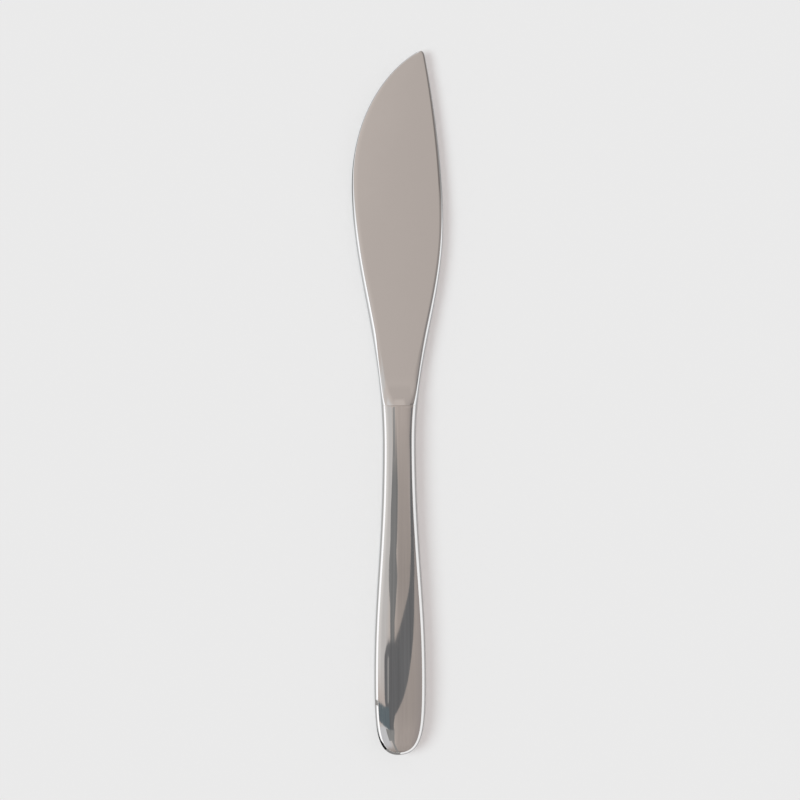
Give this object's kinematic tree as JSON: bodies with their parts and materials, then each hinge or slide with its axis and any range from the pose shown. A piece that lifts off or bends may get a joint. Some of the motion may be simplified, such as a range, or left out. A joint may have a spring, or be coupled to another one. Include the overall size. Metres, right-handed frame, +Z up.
{
  "type": "table knife",
  "caption": "Table knife with a broad flat blade curving up to an offset point, a bolster ramp and a waisted, rounded hollow steel handle.",
  "frame": {"origin": "middle of the knife's footprint, on the surface that it lies on", "axes": "+Y along the knife from butt to tip, +X towards the blade's spine, +Z up from the surface it lies on"},
  "size_m": [0.0284, 0.2202, 0.0095],
  "materials": {
    "blade_steel": "satin",
    "handle_steel": "mirror polish",
    "braze_alloy": "polished flush",
    "filler_cement": "rough"
  },
  "bodies": {
    "root": {"blade": "blade_steel", "handle_shell_front": "handle_steel", "handle_shell_back": "handle_steel", "seam_braze": "braze_alloy", "shoulder_braze": "braze_alloy", "handle_filler": "filler_cement"}
  },
  "joints": []
}
